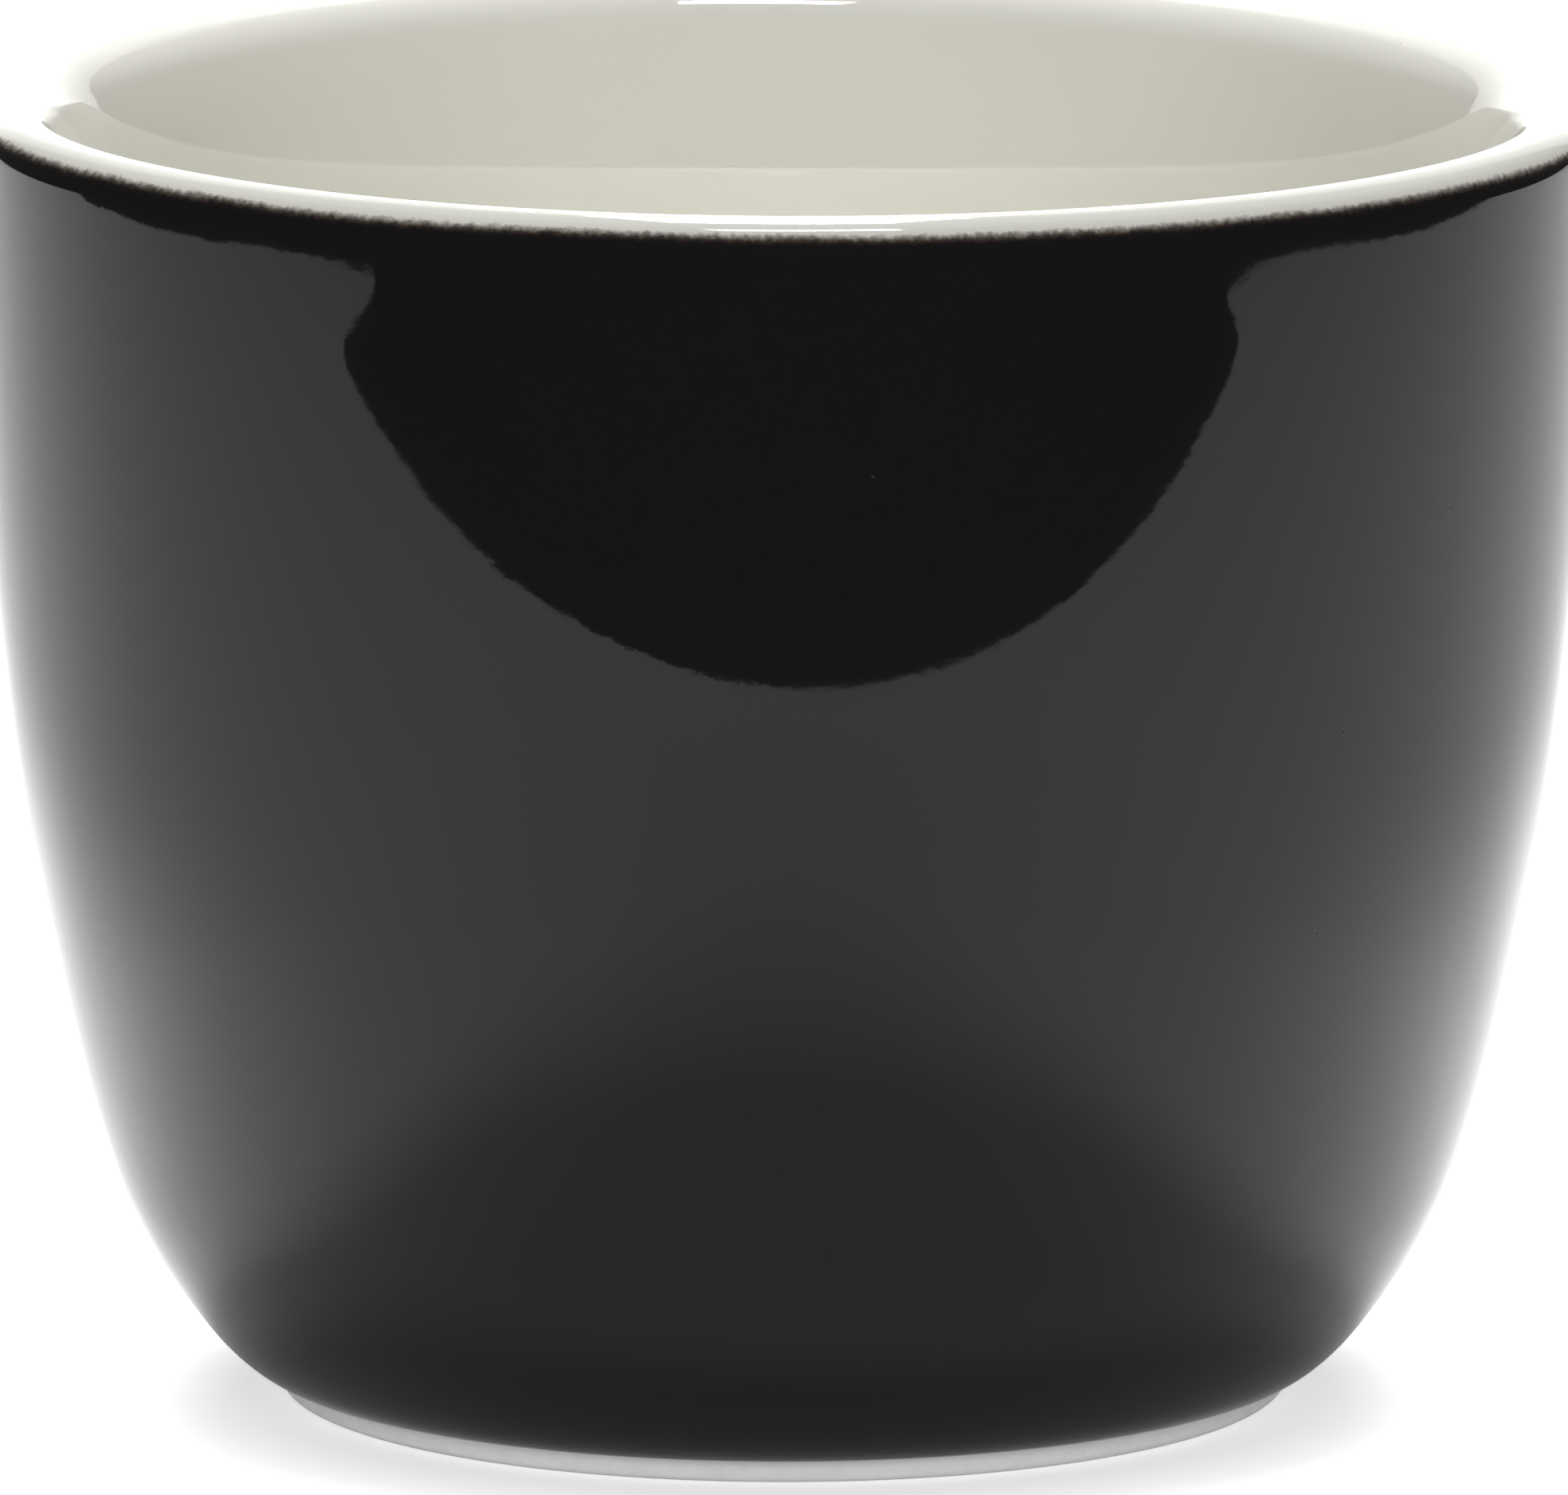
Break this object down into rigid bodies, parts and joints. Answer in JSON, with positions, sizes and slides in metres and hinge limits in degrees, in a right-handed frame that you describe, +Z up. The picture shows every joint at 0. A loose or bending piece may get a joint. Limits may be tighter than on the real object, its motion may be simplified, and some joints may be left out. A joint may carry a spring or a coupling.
{
  "type": "espresso cup",
  "caption": "Handleless porcelain espresso cup with a rounded barrel wall and a low foot ring, glossy black outside and white inside and over the lip.",
  "frame": {"origin": "on the cup's axis, in the plane that the foot ring stands on", "axes": "+Z up along the axis of turning, +X and +Y free because the cup is round"},
  "size_m": [0.065, 0.065, 0.052],
  "materials": {
    "bare_porcelain": "unglazed, finely ground at the foot",
    "black_glaze": "gloss",
    "white_glaze": "gloss",
    "clear_glaze": "gloss"
  },
  "bodies": {
    "root": {"porcelain_body": "bare_porcelain", "black_outer_glaze": "black_glaze", "white_inner_glaze": "white_glaze", "foot_recess_glaze": "clear_glaze"}
  },
  "joints": []
}
